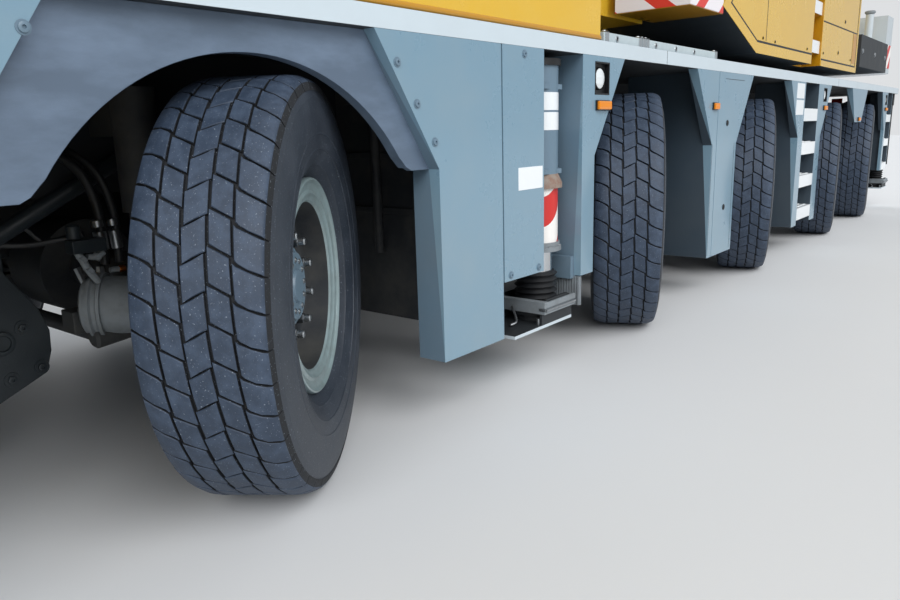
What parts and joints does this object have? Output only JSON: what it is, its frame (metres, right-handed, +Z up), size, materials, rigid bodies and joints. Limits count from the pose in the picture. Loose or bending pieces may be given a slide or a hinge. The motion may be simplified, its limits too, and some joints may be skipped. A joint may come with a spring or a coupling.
{
  "type": "mobile crane",
  "caption": "Wheeled mobile crane with steered wheels, sliding outriggers, a slewing superstructure, operator's cab and a telescoping, luffing boom.",
  "frame": {"origin": "on the ground under the middle of the vehicle's box, at rest", "axes": "+X forward, +Y to the vehicle's left, +Z up"},
  "size_m": [13.8, 3.3228, 3.774],
  "materials": {
    "frame_grey": "satin paint on welded steel",
    "axle_black": "painted castings with road dust",
    "panel_grey": "smooth blue-grey enamel",
    "deck_grey": "pale blue-white enamel",
    "fender_rubber": "moulded grey rubber",
    "crane_yellow": "smooth yellow enamel",
    "cab_dark": "matte dark plastic",
    "tyre_rubber": "used tyre rubber",
    "rim_grey": "pale green-grey enamel",
    "beam_grey": "blue-grey enamel",
    "rod_chrome": "hard chromed rod",
    "boom_yellow": "yellow enamel",
    "ballast_grey": "pale grey enamel"
  },
  "bodies": {
    "carrier": {"carrier_frame": "frame_grey", "axles": "axle_black", "deck": "deck_grey", "side_panels": "panel_grey", "fenders": "fender_rubber", "engine_cover": "crane_yellow", "engine": "axle_black", "cab_shell": "crane_yellow", "cab_interior": "cab_dark"},
    "knuckle_1_left": {"knuckle_1_left": "axle_black"},
    "wheel_1_left": {"rim_1_left": "rim_grey", "tyre_1_left": "tyre_rubber"},
    "knuckle_1_right": {"knuckle_1_right": "axle_black"},
    "wheel_1_right": {"rim_1_right": "rim_grey", "tyre_1_right": "tyre_rubber"},
    "knuckle_2_left": {"knuckle_2_left": "axle_black"},
    "wheel_2_left": {"rim_2_left": "rim_grey", "tyre_2_left": "tyre_rubber"},
    "knuckle_2_right": {"knuckle_2_right": "axle_black"},
    "wheel_2_right": {"rim_2_right": "rim_grey", "tyre_2_right": "tyre_rubber"},
    "knuckle_3_left": {"knuckle_3_left": "axle_black"},
    "wheel_3_left": {"rim_3_left": "rim_grey", "tyre_3_left": "tyre_rubber"},
    "knuckle_3_right": {"knuckle_3_right": "axle_black"},
    "wheel_3_right": {"rim_3_right": "rim_grey", "tyre_3_right": "tyre_rubber"},
    "knuckle_4_left": {"knuckle_4_left": "axle_black"},
    "wheel_4_left": {"rim_4_left": "rim_grey", "tyre_4_left": "tyre_rubber"},
    "knuckle_4_right": {"knuckle_4_right": "axle_black"},
    "wheel_4_right": {"rim_4_right": "rim_grey", "tyre_4_right": "tyre_rubber"},
    "knuckle_5_left": {"knuckle_5_left": "axle_black"},
    "wheel_5_left": {"rim_5_left": "rim_grey", "tyre_5_left": "tyre_rubber"},
    "knuckle_5_right": {"knuckle_5_right": "axle_black"},
    "wheel_5_right": {"rim_5_right": "rim_grey", "tyre_5_right": "tyre_rubber"},
    "cab_door_left": {"cab_door_left": "crane_yellow"},
    "cab_door_right": {"cab_door_right": "crane_yellow"},
    "outrigger_beam_front_left": {"outrigger_beam_front_left": "beam_grey"},
    "outrigger_jack_front_left": {"outrigger_jack_front_left": "rod_chrome"},
    "outrigger_beam_front_right": {"outrigger_beam_front_right": "beam_grey"},
    "outrigger_jack_front_right": {"outrigger_jack_front_right": "rod_chrome"},
    "outrigger_beam_rear_left": {"outrigger_beam_rear_left": "beam_grey"},
    "outrigger_jack_rear_left": {"outrigger_jack_rear_left": "rod_chrome"},
    "outrigger_beam_rear_right": {"outrigger_beam_rear_right": "beam_grey"},
    "outrigger_jack_rear_right": {"outrigger_jack_rear_right": "rod_chrome"},
    "superstructure": {"turntable": "crane_yellow", "housings": "crane_yellow", "counterweight": "ballast_grey", "operator_cab": "crane_yellow"},
    "operator_door": {"operator_door": "crane_yellow"},
    "boom_base": {"boom_base": "boom_yellow"},
    "boom_section_1": {"boom_section_1": "boom_yellow"},
    "boom_section_2": {"boom_section_2": "boom_yellow"},
    "boom_section_3": {"boom_section_3": "boom_yellow"},
    "luff_barrel": {"luff_barrel": "crane_yellow"},
    "luff_rod": {"luff_rod": "rod_chrome"}
  },
  "joints": [
    {"name": "steer_1_left", "type": "hinge", "parent": "carrier", "child": "knuckle_1_left", "pos_m": [3.6, 0.935, 0.675], "axis": [0, 0, 1], "range_deg": [-72, 0]},
    {"name": "spin_1_left", "type": "hinge", "parent": "knuckle_1_left", "child": "wheel_1_left", "pos_m": [3.45305, 1.13725, 0.675], "axis": [-0.5878, 0.809, 0], "continuous": true},
    {"name": "steer_1_right", "type": "hinge", "parent": "carrier", "child": "knuckle_1_right", "pos_m": [3.6, -0.935, 0.675], "axis": [0, 0, 1], "range_deg": [-72.01, 0.01]},
    {"name": "spin_1_right", "type": "hinge", "parent": "knuckle_1_right", "child": "wheel_1_right", "pos_m": [3.74695, -1.13725, 0.675], "axis": [-0.5878, 0.809, 0], "continuous": true},
    {"name": "steer_2_left", "type": "hinge", "parent": "carrier", "child": "knuckle_2_left", "pos_m": [0.98, 0.935, 0.675], "axis": [0, 0, 1], "range_deg": [-54.01, 0.01]},
    {"name": "spin_2_left", "type": "hinge", "parent": "knuckle_2_left", "child": "wheel_2_left", "pos_m": [0.8665, 1.15775, 0.675], "axis": [-0.454, 0.891, 0], "continuous": true},
    {"name": "steer_2_right", "type": "hinge", "parent": "carrier", "child": "knuckle_2_right", "pos_m": [0.98, -0.935, 0.675], "axis": [0, 0, 1], "range_deg": [-54.01, 0.01]},
    {"name": "spin_2_right", "type": "hinge", "parent": "knuckle_2_right", "child": "wheel_2_right", "pos_m": [1.0935, -1.15775, 0.675], "axis": [-0.454, 0.891, 0], "continuous": true},
    {"name": "steer_3_left", "type": "hinge", "parent": "carrier", "child": "knuckle_3_left", "pos_m": [-1.2, 0.935, 0.675], "axis": [0, 0, 1], "range_deg": [-38.01, 0.01]},
    {"name": "spin_3_left", "type": "hinge", "parent": "knuckle_3_left", "child": "wheel_3_left", "pos_m": [-1.28139, 1.17138, 0.675], "axis": [-0.3256, 0.9455, 0], "continuous": true},
    {"name": "steer_3_right", "type": "hinge", "parent": "carrier", "child": "knuckle_3_right", "pos_m": [-1.2, -0.935, 0.675], "axis": [0, 0, 1], "range_deg": [-38.01, 0.01]},
    {"name": "spin_3_right", "type": "hinge", "parent": "knuckle_3_right", "child": "wheel_3_right", "pos_m": [-1.11861, -1.17138, 0.675], "axis": [-0.3256, 0.9455, 0], "continuous": true},
    {"name": "steer_4_left", "type": "hinge", "parent": "carrier", "child": "knuckle_4_left", "pos_m": [-3.56, 0.935, 0.675], "axis": [0, 0, 1], "range_deg": [-36.41, 10.41]},
    {"name": "spin_4_left", "type": "hinge", "parent": "knuckle_4_left", "child": "wheel_4_left", "pos_m": [-3.61624, 1.17859, 0.675], "axis": [-0.225, 0.9744, 0], "continuous": true},
    {"name": "steer_4_right", "type": "hinge", "parent": "carrier", "child": "knuckle_4_right", "pos_m": [-3.56, -0.935, 0.675], "axis": [0, 0, 1], "range_deg": [-36.41, 10.41]},
    {"name": "spin_4_right", "type": "hinge", "parent": "knuckle_4_right", "child": "wheel_4_right", "pos_m": [-3.50376, -1.17859, 0.675], "axis": [-0.225, 0.9744, 0], "continuous": true},
    {"name": "steer_5_left", "type": "hinge", "parent": "carrier", "child": "knuckle_5_left", "pos_m": [-5.34, 0.935, 0.675], "axis": [0, 0, 1], "range_deg": [-28, 8]},
    {"name": "spin_5_left", "type": "hinge", "parent": "knuckle_5_left", "child": "wheel_5_left", "pos_m": [-5.38341, 1.1812, 0.675], "axis": [-0.1736, 0.9848, 0], "continuous": true},
    {"name": "steer_5_right", "type": "hinge", "parent": "carrier", "child": "knuckle_5_right", "pos_m": [-5.34, -0.935, 0.675], "axis": [0, 0, 1], "range_deg": [-28.01, 8.01]},
    {"name": "spin_5_right", "type": "hinge", "parent": "knuckle_5_right", "child": "wheel_5_right", "pos_m": [-5.29659, -1.1812, 0.675], "axis": [-0.1736, 0.9848, 0], "continuous": true},
    {"name": "cab_door_left", "type": "hinge", "parent": "carrier", "child": "cab_door_left", "pos_m": [5.847, 1.3783, 1.6], "axis": [0, 0, -1], "range_deg": [0, 70]},
    {"name": "cab_door_right", "type": "hinge", "parent": "carrier", "child": "cab_door_right", "pos_m": [5.847, -1.3783, 1.6], "axis": [0, 0, 1], "range_deg": [0, 70]},
    {"name": "extend_front_left", "type": "slide", "parent": "carrier", "child": "outrigger_beam_front_left", "axis": [0, 1, 0], "range_m": [0, 1.9]},
    {"name": "lower_front_left", "type": "slide", "parent": "outrigger_beam_front_left", "child": "outrigger_jack_front_left", "axis": [0, 0, -1], "range_m": [0, 0.65]},
    {"name": "extend_front_right", "type": "slide", "parent": "carrier", "child": "outrigger_beam_front_right", "axis": [0, -1, 0], "range_m": [0, 1.9]},
    {"name": "lower_front_right", "type": "slide", "parent": "outrigger_beam_front_right", "child": "outrigger_jack_front_right", "axis": [0, 0, -1], "range_m": [0, 0.65]},
    {"name": "extend_rear_left", "type": "slide", "parent": "carrier", "child": "outrigger_beam_rear_left", "axis": [0, 1, 0], "range_m": [0, 1.9]},
    {"name": "lower_rear_left", "type": "slide", "parent": "outrigger_beam_rear_left", "child": "outrigger_jack_rear_left", "axis": [0, 0, -1], "range_m": [0, 0.65]},
    {"name": "extend_rear_right", "type": "slide", "parent": "carrier", "child": "outrigger_beam_rear_right", "axis": [0, -1, 0], "range_m": [0, 1.9]},
    {"name": "lower_rear_right", "type": "slide", "parent": "outrigger_beam_rear_right", "child": "outrigger_jack_rear_right", "axis": [0, 0, -1], "range_m": [0, 0.65]},
    {"name": "slew", "type": "hinge", "parent": "carrier", "child": "superstructure", "pos_m": [-2.8, 0, 1.568], "axis": [0, 0, 1], "continuous": true},
    {"name": "operator_door", "type": "slide", "parent": "superstructure", "child": "operator_door", "axis": [-1, 0, 0], "range_m": [0, 0.55]},
    {"name": "luff", "type": "hinge", "parent": "superstructure", "child": "boom_base", "pos_m": [-5.4, 0, 3], "axis": [0, -1, 0], "range_deg": [0, 80]},
    {"name": "telescope_1", "type": "slide", "parent": "boom_base", "child": "boom_section_1", "axis": [1, 0, 0], "range_m": [0, 9.5]},
    {"name": "telescope_2", "type": "slide", "parent": "boom_section_1", "child": "boom_section_2", "axis": [1, 0, 0], "range_m": [0, 9.501]},
    {"name": "telescope_3", "type": "slide", "parent": "boom_section_2", "child": "boom_section_3", "axis": [1, 0, 0], "range_m": [0, 9.501]},
    {"name": "luff_barrel", "type": "hinge", "parent": "superstructure", "child": "luff_barrel", "pos_m": [-4, 0, 1.9], "axis": [0, -1, 0], "range_deg": [-0.01, 77.55]},
    {"name": "luff_rod", "type": "slide", "parent": "luff_barrel", "child": "luff_rod", "axis": [0.954, 0, 0.2998], "range_m": [-0.001, 2.28375]}
  ],
  "couplings": [
    {"joint": "steer_1_right", "follows": "steer_1_left", "ratio": 1},
    {"joint": "steer_2_left", "follows": "steer_1_left", "ratio": 0.75},
    {"joint": "steer_2_right", "follows": "steer_1_left", "ratio": 0.75},
    {"joint": "steer_3_left", "follows": "steer_1_left", "ratio": 0.52778},
    {"joint": "steer_3_right", "follows": "steer_1_left", "ratio": 0.52778},
    {"joint": "steer_4_left", "follows": "steer_5_left", "ratio": 1.3},
    {"joint": "steer_4_right", "follows": "steer_5_left", "ratio": 1.3},
    {"joint": "steer_5_right", "follows": "steer_5_left", "ratio": 1},
    {"joint": "telescope_2", "follows": "telescope_1", "ratio": 1},
    {"joint": "telescope_3", "follows": "telescope_1", "ratio": 1},
    {"joint": "luff_barrel", "follows": "luff", "ratio": 0.96931},
    {"joint": "luff_rod", "follows": "luff", "m_per_rad": 1.6349}
  ]
}
